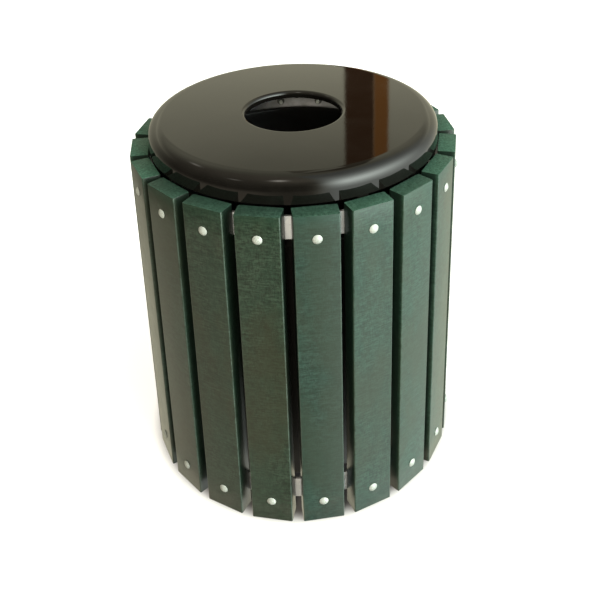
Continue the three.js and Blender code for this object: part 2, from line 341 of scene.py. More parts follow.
    h = k.math("ADD", k.math("MULTIPLY", ripple, 0.26), k.math("MULTIPLY", drag, 0.16))
    h = k.math("ADD", h, k.math("MULTIPLY", cloth, 0.55))
    h = k.math("ADD", h, k.math("MULTIPLY", k.noise(own, 900.0, 2, 0.5), 0.16))
    h = k.math("ADD", h, k.math("MULTIPLY", (end, 0), k.math("ADD", k.math("MULTIPLY", saw, 1.1), k.math("MULTIPLY", pore, 0.9))))
    broad = k.bump(k.noise((k.mapping(own, (14, 14, 6)), 0), 1.0, 2, 0.5), 0.0008)
    k.set("Normal", k.bump(h, 0.00015, 1.0, broad))
    return k.m


def lid_material():
    k = Nodes("lid_gloss")
    tc = k.add("ShaderNodeTexCoord")
    v = (tc, 3)
    smudge = k.noise(v, 9.0, 5, 0.6, 0.6)
    dust = k.noise(v, 900.0, 2, 0.5)
    fine = k.noise(v, 240.0, 3, 0.55)
    col = k.mix(k.ramp(smudge, (0.3, 0.75, 0, 1)), (0.0030, 0.0027, 0.0023), (0.0062, 0.0056, 0.0048))
    col = k.mix(k.ramp(dust, (0.70, 0.78, 0, 0.35)), col, (0.05, 0.048, 0.043))
    k.set("Base Color", col)
    k.set("Roughness", k.math("ADD", k.math("MULTIPLY", k.ramp(smudge, (0.35, 0.8, 0, 1)), 0.03), k.math("ADD", k.math("MULTIPLY", fine, 0.02), 0.012)))
    k.set("IOR", 1.5)
    wave = k.bump(k.noise((k.mapping(v, (1, 1, 1)), 0), 9.0, 2, 0.45), 0.00007)
    k.set("Normal", k.bump(fine, 0.000012, 1.0, wave))
    return k.m


def galvanised_material():
    k = Nodes("galvanised_bar")
    tc = k.add("ShaderNodeTexCoord")
    v = (tc, 3)
    warp = k.noise(v, 30.0, 3, 0.5)
    mixv = k.t.nodes.new("ShaderNodeVectorMath")
    mixv.operation = "MULTIPLY_ADD"
    k.link(warp, 1, mixv, 0)
    mixv.inputs[1].default_value = (0.012, 0.012, 0.012)
    k.link(tc, 3, mixv, 2)
    cell = k.t.nodes.new("ShaderNodeTexVoronoi")
    cell.inputs["Scale"].default_value = 95.0
    k.link(mixv, 0, cell, 0)
    tone = k.t.nodes.new("ShaderNodeSeparateColor")
    k.link(cell, 1, tone, 0)
    stain = k.noise(v, 14.0, 5, 0.6)
    col = k.mix((tone, 0), (0.80, 0.85, 0.90), (0.92, 0.96, 1.0))
    col = k.mix(k.ramp(stain, (0.5, 0.75, 0, 0.4)), col, (0.64, 0.66, 0.67))
    geo = k.add("ShaderNodeNewGeometry")
    nsep = k.t.nodes.new("ShaderNodeSeparateXYZ")
    k.link(geo, 1, nsep, 0)
    # upward-facing faces are made much darker in patches
    upward_darker = k.math("MULTIPLY", k.ramp((nsep, 2), (0.35, 0.85, 0.0, 0.9)), k.ramp(k.noise(v, 36.0, 4, 0.6), (0.25, 0.55, 0.6, 1.0)))
    col = k.mix(upward_darker, col, (0.055, 0.055, 0.050))
    # painted shade: faces turned in towards the bin's axis are darkened in patches
    radial = k.t.nodes.new("ShaderNodeVectorMath")
    radial.operation = "DOT_PRODUCT"
    k.link(geo, 0, radial, 0)
    k.link(geo, 1, radial, 1)
    inside = k.math("MULTIPLY", k.ramp((radial, 1), (-0.05, -0.20, 0.0, 0.72)), k.ramp(k.noise(v, 22.0, 4, 0.6), (0.28, 0.6, 0.7, 1.0)))
    col = k.mix(inside, col, (0.13, 0.128, 0.12))
    k.set("Base Color", col)
    k.set("Metallic", 0.25)
    k.set("Roughness", k.math("ADD", k.math("MULTIPLY", (tone, 1), 0.22), 0.34))
    grain = k.noise(v, 420.0, 3, 0.6)
    k.set("Normal", k.bump(grain, 0.00012, 1.0, k.bump((tone, 0), 0.00008)))
    return k.m


def zinc_material(name="zinc_fastener", shade_scale=1.0):
    k = Nodes(name)
    tc = k.add("ShaderNodeTexCoord")
    v = (tc, 3)
    big = k.noise(v, 60.0, 4, 0.6)
    fine = k.noise(v, 700.0, 3, 0.6)
    # the scale argument darkens the whole colour; below 1 it is painted shade, used for the nuts inside the ring
    col = k.mix(k.ramp(big, (0.35, 0.7, 0, 1)), (0.43 * shade_scale, 0.47 * shade_scale, 0.44 * shade_scale), (0.54 * shade_scale, 0.585 * shade_scale, 0.55 * shade_scale))
    k.set("Base Color", col)
    k.set("Metallic", 0.18)
    k.set("Roughness", k.math("ADD", k.math("MULTIPLY", big, 0.22), k.math("ADD", k.math("MULTIPLY", fine, 0.12), 0.34)))
    k.set("Normal", k.bump(fine, 0.00010))
    return k.m


def liner_material():
    k = Nodes("liner_plastic")
    tc = k.add("ShaderNodeTexCoord")
    v = (tc, 3)
    big = k.noise(v, 8.0, 5, 0.6)
    fine = k.noise(v, 700.0, 3, 0.6)
    scuff = k.noise((k.mapping(v, (3, 3, 60)), 0), 1.0, 4, 0.6)
    col = k.mix(k.ramp(big, (0.3, 0.75, 0, 1)), (0.0032, 0.0032, 0.0030), (0.0070, 0.0070, 0.0066))
    col = k.mix(k.ramp(scuff, (0.58, 0.72, 0, 0.5)), col, (0.016, 0.0155, 0.0145))
    k.set("Base Color", col)
    k.set("Roughness", k.math("ADD", k.math("MULTIPLY", big, 0.2), k.math("ADD", k.math("MULTIPLY", scuff, 0.12), 0.32)))
    k.set("Normal", k.bump(fine, 0.00018))
    return k.m


M_BOARD = board_material()
M_LID = lid_material()
M_GALV = galvanised_material()
M_ZINC = zinc_material()
# nuts: the same zinc painted five times darker, painted shade for the nuts inside the ring
M_NUT_SHADED = zinc_material("zinc_nut", 0.20)
M_LINER = liner_material()


# --------------------------------------------------------------------- boards
def board_mesh():
    """One board at the front: rounded long edges, eased sawn ends, bolt holes with
    a square pocket, in its own frame."""
    x, y0, y1 = BOARD_W / 2, -RING_A, -RING_INNER
    r = 2.6
    section = []
    for cx, cy, a0 in ((x - r, y0 + r, -90), (x - r, y1 - r, 0), (-x + r, y1 - r, 90), (-x + r, y0 + r, 180)):
        for i in range(7):
            t = math.radians(a0 + 15 * i)
            section.append((cx + r * math.cos(t), cy + r * math.sin(t)))
    cxm, cym = 0.0, (y0 + y1) / 2
    levels = [(0.0, 0.75), (0.22, 0.22), (0.75, 0.0)]
    zs = [1.0] + [BOARD_L * i / 12 for i in range(1, 12)] + [BOARD_L - 1.0]
    rows = [(z, d) for z, d in levels] + [(z, 0.0) for z in zs[1:-1]] + [(BOARD_L - z, d) for z, d in reversed(levels)]
    verts, faces = [], []
    n = len(section)
    for z, d in rows:
        sx = (BOARD_W / 2 - d) / (BOARD_W / 2)
        sy = (BOARD_T / 2 - d) / (BOARD_T / 2)
        for px, py in section:
            verts.append((cxm + (px - cxm) * sx, cym + (py - cym) * sy, z))
    for k in range(len(rows) - 1):
        for i in range(n):
            j = (i + 1) % n
            faces.append((k * n + i, k * n + j, (k + 1) * n + j, (k + 1) * n + i))
    faces.append(tuple(range(n - 1, -1, -1)))
    faces.append(tuple((len(rows) - 1) * n + i for i in range(n)))
    me = mesh_of("slat_mesh", verts, faces, True, 40)
    # bolt holes, cut once and shared by every board
    tool_v, tool_f = [], []
    for z in (BOLT_Z_LOW, BOLT_Z_TOP):
        base = len(tool_v)
        m = 24
        for yy in (y0 - 4, y1 + 4):
            for i in range(m):
                a = 2 * math.pi * i / m
                tool_v.append((5.6 * math.cos(a), yy, z + 5.6 * math.sin(a)))
        for i in range(m):
            j = (i + 1) % m
            tool_f.append((base + i, base + j, base + m + j, base + m + i))
        tool_f.append(tuple(base + i for i in range(m)))
        tool_f.append(tuple(base + m + i for i in reversed(range(m))))
    tool = bpy.data.objects.new("tool_holes", mesh_of("tool_holes", tool_v, tool_f, False))
    pocket_v, pocket_f = [], []
    for z in (BOLT_Z_LOW, BOLT_Z_TOP):
        base = len(pocket_v)
        h = 10.3 / 2
        for yy in (y0 - 4, y0 + 7):
            pocket_v += [(-h, yy, z - h), (h, yy, z - h), (h, yy, z + h), (-h, yy, z + h)]
        b = base
        pocket_f += [(b, b + 1, b + 2, b + 3), (b + 7, b + 6, b + 5, b + 4)]
        for i in range(4):
            j = (i + 1) % 4
            pocket_f.append((b + j, b + i, b + 4 + i, b + 4 + j))
    tool2 = bpy.data.objects.new("tool_pockets", mesh_of("tool_pockets", pocket_v, pocket_f, False))
    return apply_cuts(me, [tool, tool2])


def apply_cuts(me, tools):
    base = bpy.data.objects.new("cut_base", me)
    scene.collection.objects.link(base)
    for t in tools:
        scene.collection.objects.link(t)
        mod = base.modifiers.new("cut", "BOOLEAN")
        mod.operation = "DIFFERENCE"
        mod.solver = "EXACT"
        mod.object = t
    bpy.context.view_layer.update()
    dg = bpy.context.evaluated_depsgraph_get()
    done = bpy.data.meshes.new_from_object(base.evaluated_get(dg), depsgraph=dg)
    done.name = me.name
    for o in [base] + tools:
        d = o.data
        bpy.data.objects.remove(o)
        bpy.data.meshes.remove(d)
    return done


# colour of each board, from the one at front right round to the left: partly the moulding's own tone, partly painted
# light, the boards on the right painted paler and cooler as if lit by the window, those at front left darker and
# warmer
BOARD_TINT_AND_LIGHT = (
    (0.88, 1.05, 1.20), (0.82, 1.02, 1.04), (0.96, 1.20, 1.20), (1.04, 1.22, 1.24), (0.98, 1.04, 1.00),
    (1.02, 1.10, 1.06), (0.94, 1.00, 1.04), (1.04, 1.02, 0.96), (0.97, 1.05, 1.08), (1.03, 0.98, 0.92),
    (0.95, 1.02, 1.05), (1.05, 1.03, 0.97), (0.94, 0.98, 1.00), (1.00, 1.06, 1.04), (1.02, 1.00, 0.94),
    (0.98, 0.98, 0.96), (0.95, 0.88, 0.90), (0.90, 0.90, 0.90), (0.86, 0.82, 0.78), (0.84, 0.80, 0.74),
)
# and how pale its sawn end is
BOARD_CUT = (0.98, 1.32, 1.02, 1.42, 1.62, 1.5, 1.3, 1.1, 1.2, 1.0, 1.15, 1.05, 1.2, 1.3, 1.5, 1.6, 1.6, 0.86, 0.84, 0.74)
slat_mesh = board_mesh()
slat_mesh.materials.append(M_BOARD)
for k in range(BOARDS):
    node = f"slat_{k + 1:02d}"
    obj = bpy.data.objects.new(f"board_{k + 1:02d}", slat_mesh)
    obj.color = (*BOARD_TINT_AND_LIGHT[k], BOARD_CUT[k])
    scene.collection.objects.link(obj)
    obj.rotation_euler = (0, 0, math.radians(PITCH / 2 + k * PITCH))
    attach(obj, "ring")
    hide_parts(node)


# ---------------------------------------------------------------------- hoops
def hoop_mesh(name, upper, bolt_z, seam_deg):
    ro = RING_INNER - GAP
    ri = ro - BAR_T
    lower = upper - BAR_H
    c = 1.1
    prof = []
    prof += arc(ri + c, lower + c, c, c, 180, 270, 4)
    prof += arc(ro - c, lower + c, c, c, 270, 360, 4)
    prof += arc(ro - c, upper - c, c, c, 0, 90, 4)
    prof += arc(ri + c, upper - c, c, c, 90, 180, 4)
    # extra rows up the faces so that the seam has something to move
    full = []
    for a, b in zip(prof, prof[1:] + prof[:1]):
        full.append(a)
        if abs(a[1] - b[1]) > 20:
            for i in range(1, 8):
                full.append((a[0] + (b[0] - a[0]) * i / 8, a[1] + (b[1] - a[1]) * i / 8))
    seam = math.radians(seam_deg)
    angles = sorted(set([round(math.radians(2.0 * i), 6) for i in range(180)] + [round(seam + math.radians(0.12 * j), 6) for j in range(-9, 10)]))

    def weld(r, z, a):
        d = (a - seam) * 316.0
        w = math.exp(-(d / 2.2) ** 2)
        if w < 0.01:
            return r, z
        bead = 0.55 + 0.30 * math.sin(z * 1.9)
        return (r - bead * w, z) if r < ri + 1.5 else (r, z)

    me = lathe(name, full, 0, 40, True, weld, angles)
    tv, tf = [], []
    m = 20
    for k in range(BOARDS):
        az = math.radians(PITCH / 2 + k * PITCH)
        ca, sa = math.cos(az), math.sin(az)
        base = len(tv)
        for rr in (ri - 6, ro + 6):
            for i in range(m):
                t = 2 * math.pi * i / m
                u, w = 5.6 * math.cos(t), 5.6 * math.sin(t)
                tv.append((rr * sa + u * ca, -rr * ca + u * sa, bolt_z + w))
        for i in range(m):
            j = (i + 1) % m
            tf.append((base + i, base + j, base + m + j, base + m + i))
        tf.append(tuple(base + i for i in range(m)))
        tf.append(tuple(base + m + i for i in reversed(range(m))))
    tool = bpy.data.objects.new("tool_hoop", mesh_of("tool_hoop", tv, tf, False))
    return apply_cuts(me, [tool])


for node, upper, bz, seam in (("top_hoop", TOP_BAR_Z, BOLT_Z_TOP, 197.0), ("bottom_hoop", LOW_BAR_Z, BOLT_Z_LOW, 143.0)):
    o = new_object(node + "_bar", hoop_mesh(node + "_bar", upper, bz, seam), "ring", [M_GALV])
    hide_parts(node)


# ------------------------------------------------------------------ fasteners
def put(verts, faces, pv, pf, az_deg, z):
    """Adds a piece modelled along Y at the front to a row, at an azimuth."""
    a = math.radians(az_deg)
    ca, sa = math.cos(a), math.sin(a)
    base = len(verts)
    for x, y, h in pv:
        verts.append((x * ca - y * sa, x * sa + y * ca, z + h))
    faces += [tuple(base + i for i in f) for f in pf]


def bolt_piece(turn):
    """Carriage bolt: domed head with a tiny flat in the middle, square neck, shank
    and a threaded tip. Distances along Y are from the bin's axis."""
    seg = 32
    verts, faces = [], []
    head = RING_A + GAP

    def ring_of(r, d):
        base = len(verts)
        for i in range(seg):
            a = 2 * math.pi * i / seg + turn
            verts.append((r * math.cos(a), -d, r * math.sin(a)))
        return list(range(base, base + seg))

    def square(h, d):
        """The neck's section on the same seg points as a round one."""
        base = len(verts)
        for i in range(seg):
            a = 2 * math.pi * i / seg + turn
            c, s = math.cos(a), math.sin(a)
            k = h / max(abs(math.cos(a - turn)), abs(math.sin(a - turn)))
            k = min(k, h * 1.33)
            verts.append((k * c, -d, k * s))
        return list(range(base, base + seg))

    rows = []
    tip = 299.0
    rows.append(ring_of(0.5, tip))
    rows.append(ring_of(3.6, tip))
    steps = 26
    pitch = 1.5875
    for j in range(steps + 1):
        d = tip + 0.7 + (304.2 - tip) * j / steps
        base = len(verts)
        fade = min(1.0, j / 3.0)
        for i in range(seg):
            a = 2 * math.pi * i / seg + turn
            ph = ((d - tip) / pitch + i / seg) % 1.0
            tri = 1 - abs(2 * ph - 1)
            r = 4.72 - 0.55 * (1 - tri) * fade - (1 - fade) * 0.5
            verts.append((r * math.cos(a), -d, r * math.sin(a)))
        rows.append(list(range(base, base + seg)))
    rows.append(ring_of(4.72, 306.0))
    rows.append(ring_of(4.72, head - 6.6))
    rows.append(square(4.75, head - 6.0))
    rows.append(square(4.75, head - 0.05))
    R, H = 9.7, 4.75
    rows.append(ring_of(R - 0.55, head))
    rows.append(ring_of(R - 0.12, head + 0.22))
    rows.append(ring_of(R, head + 0.62))
    sphere = (R * R + (H - 0.62) ** 2) / (2 * (H - 0.62))
    for j in range(1, 12):
        r = R * (1 - j / 12.0)
        h = math.sqrt(sphere ** 2 - r * r) - (sphere - (H - 0.62))
        if j == 1:
            r += 0.10
        rows.append(ring_of(r, head + 0.62 + h))
    last = rows[-1]
    for ra, rb in zip(rows, rows[1:]):
        for i in range(seg):
            j = (i + 1) % seg
            faces.append((ra[i], ra[j], rb[j], rb[i]))
    faces.append(tuple(rows[0]))
    faces.append(tuple(reversed(last)))
    return verts, faces


def nut_piece(turn):
    """Flange nut: hexagon with rounded-off corners, sloping flange and a bore."""
    seg = 48
    seat = RING_INNER - GAP - BAR_T - GAP
    verts, faces, rows = [], [], []
    flat = 7.14

    def hexr(a):
        t = (a + math.pi / 6) % (math.pi / 3) - math.pi / 6
        return flat / math.cos(t)

    def row(d, cap, round_=False):
        base = len(verts)
        for i in range(seg):
            a = 2 * math.pi * i / seg
            r = cap if round_ else min(hexr(a), cap)
            verts.append((r * math.sin(a + turn), -d, r * math.cos(a + turn)))
        rows.append(list(range(base, base + seg)))

    row(seat, 5.1, True)
    row(seat, 9.3, True)
    row(seat - 0.25, 9.55, True)
    row(seat - 1.0, 9.55, True)
    row(seat - 1.35, 9.3, True)
    row(seat - 1.9, 8.45)
    row(seat - 2.3, 8.2)
    row(seat - 7.3, 8.2)
    row(seat - 8.0, 7.9)
    row(seat - 8.5, 7.1, True)
    row(seat - 8.6, 6.7, True)
    row(seat - 8.6, 5.6, True)
    row(seat - 8.1, 5.1, True)
    for ra, rb in zip(rows, rows[1:] + rows[:1]):
        for i in range(seg):
            j = (i + 1) % seg
            faces.append((ra[i], ra[j], rb[j], rb[i]))
    return verts, faces


for label, z in (("top", BOLT_Z_TOP), ("bottom", BOLT_Z_LOW)):
    verts, faces, nv, nf = [], [], [], []
    for k in range(BOARDS):
        az = PITCH / 2 + k * PITCH
        pv, pf = bolt_piece(0.0)
        put(verts, faces, pv, pf, az, z)
        pv, pf = nut_piece(random.uniform(0, math.pi / 3))
        put(nv, nf, pv, pf, az, z)
    o = new_object(f"carriage_bolts_{label}", mesh_of(f"carriage_bolts_{label}", verts, faces, True, 38), "ring", [M_ZINC])
    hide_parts(f"bolts_{label}")
    o = new_object(f"nuts_{label}", mesh_of(f"nuts_{label}", nv, nf, True, 30), "ring", [M_NUT_SHADED])
    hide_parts(f"flange_nuts_{label}")


# ------------------------------------------------------------------------ lid
LID_R = 318.6
HEM_Z = BOARD_L + 2.0


def lid_profile():
    """Rolled lower edge, upright side, round shoulder, flat top and the rolled lip,
    then back along the inside."""
    R, W, SW = LID_R - 0.02, 4.0, 30.6
    top = LID_TOP
    zb = top - SW
    out = arc(R - 2.0, HEM_Z + 2.0, 2.0, 2.0, 180, 360, 10)
    out += [(R, HEM_Z + 2.6), (R, HEM_Z + 5.0), (R, zb - 4.0), (R, zb - 0.6)]
    out += arc(R - SW, zb, SW, SW, 0, 90, 34, True)
    flat = top
    lip_r, hole = 8.2, 106.6
    lip = hole + lip_r
    flat_r = [R - SW - 0.6, R - SW - 3.0, R - SW - 50.0, R - SW - 105.0, lip + 3.0, lip + 0.6]
    out += [(r, top) for r in flat_r]
    out += arc(lip, flat - lip_r, lip_r, lip_r, 90, 180, 14)
    out += [(hole, flat - 12.5)]
    out += arc(hole + 1.6, flat - 14.4, 1.6, 1.6, 180, 270, 5)
    out += arc(hole + W - 1.6, flat - 14.4, 1.6, 1.6, 270, 360, 5)
    out += [(hole + W, flat - 11.0)]
    out += arc(lip, flat - lip_r, lip_r - W, lip_r - W, 180, 90, 8)
    out += [(r, top - W) for r in reversed(flat_r)]
    out += arc(R - SW, zb, SW - W, SW - W, 90, 0, 20)
    out += [(R - W, zb - 3.0), (R - W, HEM_Z + 5.0), (R - W, HEM_Z + 2.6)]
    clean = [out[0]]
    for p in out[1:]:
        if math.hypot(p[0] - clean[-1][0], p[1] - clean[-1][1]) > 0.03:
            clean.append(p)
    return clean


def lug_row():
    """Four lugs that carry the lid on the top hoop: a rounded block each, behind a
    board, run up into the lid's side wall."""
    foot = TOP_BAR_Z + GAP
    verts, faces = [], []
    half = 11.9
    # radius and height, going round the lug's section
    section = [(311.8, foot + 0.5), (312.6, foot + 0.05), (316.9, foot + 0.05), (317.7, foot + 0.7), (317.7, foot + 6.0),
               (317.7, HEM_Z + 1.0), (317.6, HEM_Z + 4.4), (316.4, HEM_Z + 6.6), (315.2, HEM_Z + 6.9), (313.2, HEM_Z + 5.6),
               (312.0, HEM_Z + 4.2), (311.7, HEM_Z + 2.4), (311.7, foot + 8.0)]
    n = len(section)
    cr = sum(p[0] for p in section) / n
    cz = sum(p[1] for p in section) / n
    stations = [(-half, 0.86), (-half + 0.35, 0.955), (-half + 1.1, 1.0), (0.0, 1.0), (half - 1.1, 1.0), (half - 0.35, 0.955), (half, 0.86)]
    for q in range(4):
        a = math.radians(27.0 + 90.0 * q)
        ca, sa = math.cos(a), math.sin(a)
        base = len(verts)
        for w, s_ in stations:
            for r, z in section:
                rr, zz = cr + (r - cr) * s_, cz + (z - cz) * s_
                verts.append((rr * sa + w * ca, -rr * ca + w * sa, zz))
        for i in range(len(stations) - 1):
            for j in range(n):
                k = (j + 1) % n
                faces.append((base + i * n + j, base + i * n + k, base + (i + 1) * n + k, base + (i + 1) * n + j))
        faces.append(tuple(base + j for j in reversed(range(n))))
        faces.append(tuple(base + (len(stations) - 1) * n + j for j in range(n)))
    return mesh_of("lid_lugs", verts, faces, True, 35)


o = new_object("flat_top_lid", lathe("flat_top_lid", lid_profile(), 256, 50), "lid", [M_LID])
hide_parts("lid")
o = new_object("lid_lugs", lug_row(), "lid", [M_LID])
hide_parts("lid")


# ---------------------------------------------------------------------- liner
def liner_profile():
    top = CAN_H
    out = [(0, 7.0), (203, 7.0)]
    out += arc(207, 4.0, 4, 3, 90, 20, 3)
    out += [(212, 1.2), (214, 0.55), (226, 0.55)]
    out += arc(227, 6.5, 6, 6, -90, -5, 6)
    for i in range(1, 9):
        t = i / 9
        out.append((233.2 + (266.0 - 233.2) * t, 8 + (top - 72 - 8) * t))
    out += [(266.0, top - 70), (268.2, top - 66), (270.0, top - 61), (270.4, top - 58), (270.9, top - 22)]
    out += arc(273.5, top - 19.2, 2.6, 2.6, 200, 270, 4, True)
    out += [(276.5, top - 16.8)]
    out += arc(276.0, top - 11.0, 5.0, 6.0, -70, 0, 5)
    out += arc(276.0, top - 6.0, 5.0, 5.9, 0, 90, 7)
    out += arc(271.8, top - 4.6, 4.2, 4.5, 95, 175, 6)
    out += [(267.2, top - 9), (267.0, top - 24), (266.6, top - 60), (264.6, top - 66), (262.5, top - 70)]
    for i in range(8, 0, -1):
        t = i / 9
        out.append((229.7 + (262.5 - 229.7) * t, 12 + (top - 72 - 12) * t))
    out += [(229.4, 14.0)]
    out += arc(224.0, 16.0, 5.2, 5.0, -10, -90, 5)
    out += [(0, 11.0)]
    return out


o = new_object("liner_can", lathe("liner_can", liner_profile(), 192, 35, closed=False), "liner", [M_LINER])
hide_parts("liner")


# ---------------------------------------------------------------------- stage
def simple(name, colour, rough=0.6, emission=None, strength=1.0):
    k = Nodes(name)
    k.set("Base Color", (*colour, 1.0))
    k.set("Roughness", rough)
    if emission:
        k.set("Emission Color", (*emission, 1.0))
        k.set("Emission Strength", strength)
    return k.m


def sheet(name, corners, material):
    me = bpy.data.meshes.new(name)
    me.from_pydata(corners, [], [tuple(range(len(corners)))])
    o = bpy.data.objects.new(name, me)
    o.data.materials.append(material)
    scene.collection.objects.link(o)
    return o


def floor_material():
    """A pale floor. Seen straight on it glows a little, as a lit studio floor does; for light that bounces it is an
    ordinary matt surface. Round the bin's foot and under it the floor carries a painted contact shadow: darker colour
    and no glow there."""
    k = Nodes("studio_floor")
    tc = k.add("ShaderNodeTexCoord")
    n = k.noise((tc, 3), 3.0, 4, 0.5)
    path = k.add("ShaderNodeLightPath")
    pale = k.mix(k.ramp(n, (0.3, 0.7, 0, 1)), (0.86, 0.855, 0.85), (0.88, 0.875, 0.87))
    geo = k.add("ShaderNodeNewGeometry")
    flat = k.t.nodes.new("ShaderNodeVectorMath")
    flat.operation = "MULTIPLY"
    k.link(geo, 0, flat, 0)
    flat.inputs[1].default_value = (1, 1, 0)
    away = k.t.nodes.new("ShaderNodeVectorMath")
    away.operation = "LENGTH"
    k.link(flat, 0, away, 0)
    # painted contact shadow: from about 0.39 m in to 0.33 m from the bin's axis the floor darkens and loses its glow,
    # for bounced light too
    clear = k.ramp((away, 1), (0.329, 0.386, 0.03, 1.0))
    under = k.mix(clear, (0.10, 0.095, 0.09), pale)
    k.set("Base Color", k.mix((path, 0), k.mix(clear, (0.03, 0.03, 0.028), (0.26, 0.25, 0.22)), under))
    k.set("Roughness", 0.8)
    k.set("Specular IOR Level", 0.1)
    k.set("Emission Color", (1.0, 1.0, 1.0, 1.0))
    k.set("Emission Strength", k.math("MULTIPLY", k.math("MULTIPLY", (path, 0), 0.55), clear))
    return k.m


n = 48
floor = sheet("studio_floor", [(16 * math.cos(2 * math.pi * i / n), 16 * math.sin(2 * math.pi * i / n), -0.0008) for i in range(n)], floor_material())
floor.visible_glossy = False

# ---------------------------------------------------------------------- light
# A room as the glossy lid shows it: pale wall behind, dim warm room to the left,
# a large soft window to the right and in front, three small ceiling lamps, and a
# brown door post behind. Directions: az from +Y towards +X, el above the horizon.
world = bpy.data.worlds.new("studio")
scene.world = world
world.use_nodes = True
wt = world.node_tree
wt.nodes.clear()


class Room:
    def m(self, op, a, b=0.0, c=None):
        n = wt.nodes.new("ShaderNodeMath")
        n.operation = op
        for i, v in enumerate((a, b, c)):
            if v is None:
                continue
            if isinstance(v, (int, float)):
                n.inputs[i].default_value = v
            else:
                wt.links.new(v, n.inputs[i])
        return n.outputs[0]

    def step(self, v, lo_, hi_, a=0.0, b=1.0, kind="SMOOTHSTEP"):
        n = wt.nodes.new("ShaderNodeMapRange")
        n.interpolation_type = kind
        for i, x in ((1, lo_), (2, hi_), (3, a), (4, b)):
            n.inputs[i].default_value = x
        wt.links.new(v, n.inputs[0])
        return n.outputs[0]

    def mix(self, f, a, b):
        n = wt.nodes.new("ShaderNodeMix")
        n.data_type = "RGBA"
        for i, v in ((0, f), (6, a), (7, b)):
            if isinstance(v, (int, float)):
                n.inputs[i].default_value = v
            elif isinstance(v, tuple):
                n.inputs[i].default_value = (*v, 1.0)
            else:
                wt.links.new(v, n.inputs[i])
        return n.outputs[2]

    def lift(self, colour, amount):
        """colour times amount"""
        n = wt.nodes.new("ShaderNodeVectorMath")
        n.operation = "SCALE"
        if isinstance(colour, tuple):
            n.inputs[0].default_value = colour
        else:
            wt.links.new(colour, n.inputs[0])
        if isinstance(amount, (int, float)):
            n.inputs[3].default_value = amount
        else:
            wt.links.new(amount, n.inputs[3])
        return n.outputs[0]

    def plus(self, a, b):
        n = wt.nodes.new("ShaderNodeVectorMath")
        n.operation = "ADD"
        wt.links.new(a, n.inputs[0])
        wt.links.new(b, n.inputs[1])
        return n.outputs[0]

    def curve(self, v, points):
        """Piecewise smooth curve through (position, value) by chained steps."""
        out = None
        for (x0, y0), (x1, y1) in zip(points, points[1:]):
            part = self.step(v, x0, x1, 0.0, y1 - y0, "LINEAR")
            out = part if out is None else self.m("ADD", out, part)
        return self.m("ADD", out, points[0][1])


W = Room()
w_tc = wt.nodes.new("ShaderNodeTexCoord")
w_sep = wt.nodes.new("ShaderNodeSeparateXYZ")
wt.links.new(w_tc.outputs["Generated"], w_sep.inputs[0])
wx, wy, wz = w_sep.outputs[0], w_sep.outputs[1], w_sep.outputs[2]
az = W.m("MULTIPLY", W.m("ARCTAN2", wx, wy), 180 / math.pi)
el = W.m("MULTIPLY", W.m("ARCSINE", wz), 180 / math.pi)
side = W.m("ABSOLUTE", az)

back = W.curve(el, [(-40, 1.10), (-15, 0.95), (5, 0.85), (16, 0.95), (20, 1.22), (22, 1.02), (25, 0.80), (27.5, 0.56), (30, 0.50), (36, 0.55), (50, 0.68), (75, 0.60)])
left = W.curve(el, [(-40, 0.72), (-31, 0.62), (-25, 0.28), (-16, 0.12), (-4, 0.10), (15, 0.17), (35, 0.28), (60, 0.48), (80, 0.58)])
front = W.curve(el, [(-40, 0.35), (-26, 0.22), (-12, 0.08), (15, 0.06), (35, 0.26), (55, 0.70), (80, 0.60)])
right_base = W.curve(el, [(-40, 1.25), (-15, 1.35), (5, 1.15), (25, 1.0), (50, 0.85), (80, 0.62)])

warm_left, pale_back, cool_right = (1.0, 0.88, 0.68), (1.0, 0.96, 0.71), (0.94, 1.0, 0.93)
# the wall darkens to the left lower down, and is paler either side of the post
sag = W.m("MULTIPLY", W.step(az, 2, -34), W.curve(el, [(-34, 0.0), (-26, 0.45), (-12, 0.48), (0, 0.32), (14, 0.20), (24, 0.06), (27, 0.0)]))
flank = W.m("MULTIPLY", W.curve(az, [(-60, 0.10), (-26, 0.42), (-16, 0.22), (-9, 0.02), (0, 0.0), (4, 0.30), (9, 0.48), (28, 0.44), (48, 0.20), (64, 0.0)]), W.curve(el, [(24, 0.0), (31, 1.0), (40, 0.9), (52, 0.34), (62, 0.0)]))
back = W.m("MULTIPLY", back, W.m("ADD", W.m("SUBTRACT", 1.0, sag), flank))
tone = W.lift(pale_back, back)
tone = W.mix(W.step(az, -38, -88), tone, W.lift(warm_left, left))
tone = W.mix(W.step(side, 148, 172), tone, W.lift(warm_left, front))
tone = W.mix(W.m("MULTIPLY", W.step(az, 30, 72), W.step(az, 166, 146)), tone, W.lift(cool_right, right_base))
# the window: soft towards the back, a firmer edge in front
glow = W.m("MULTIPLY", W.step(az, 58, 134), W.step(az, 163, 137))
glow = W.m("MULTIPLY", glow, W.curve(el, [(-42, 0.02), (-24, 0.12), (-8, 0.38), (5, 0.74), (14, 1.0), (24, 0.88), (34, 0.54), (45, 0.25), (58, 0.08), (72, 0.0)]))
tone = W.plus(tone, W.lift((0.91, 1.0, 0.93), W.m("MULTIPLY", glow, 8.6)))


def lamp(a0, e0, sa, se, power):
    da = W.m("DIVIDE", W.m("SUBTRACT", az, a0), sa)
    de = W.m("DIVIDE", W.m("SUBTRACT", el, e0), se)
    q = W.m("ADD", W.m("MULTIPLY", da, da), W.m("MULTIPLY", de, de))
    return W.m("MULTIPLY", W.m("EXPONENT", W.m("MULTIPLY", q, -1.0)), power)


for spec in ((-165, 60, 8, 5.5, 4.2), (-131, 39, 5, 3.0, 1.3), (-69, 47.5, 7, 2.6, 1.6)):
    tone = W.plus(tone, W.lift((1.0, 0.96, 0.86), lamp(*spec)))

# door post: dark left part, lighter brown right part
low_part = W.step(el, 30.5, 28.5)
dark_post = W.m("MULTIPLY", W.m("MULTIPLY", W.step(az, 0.60, 0.85), W.step(az, 3.02, 2.86)), low_part)
light_post = W.m("MULTIPLY", W.m("MULTIPLY", W.step(az, 2.86, 3.02), W.step(az, 4.16, 3.88)), low_part)
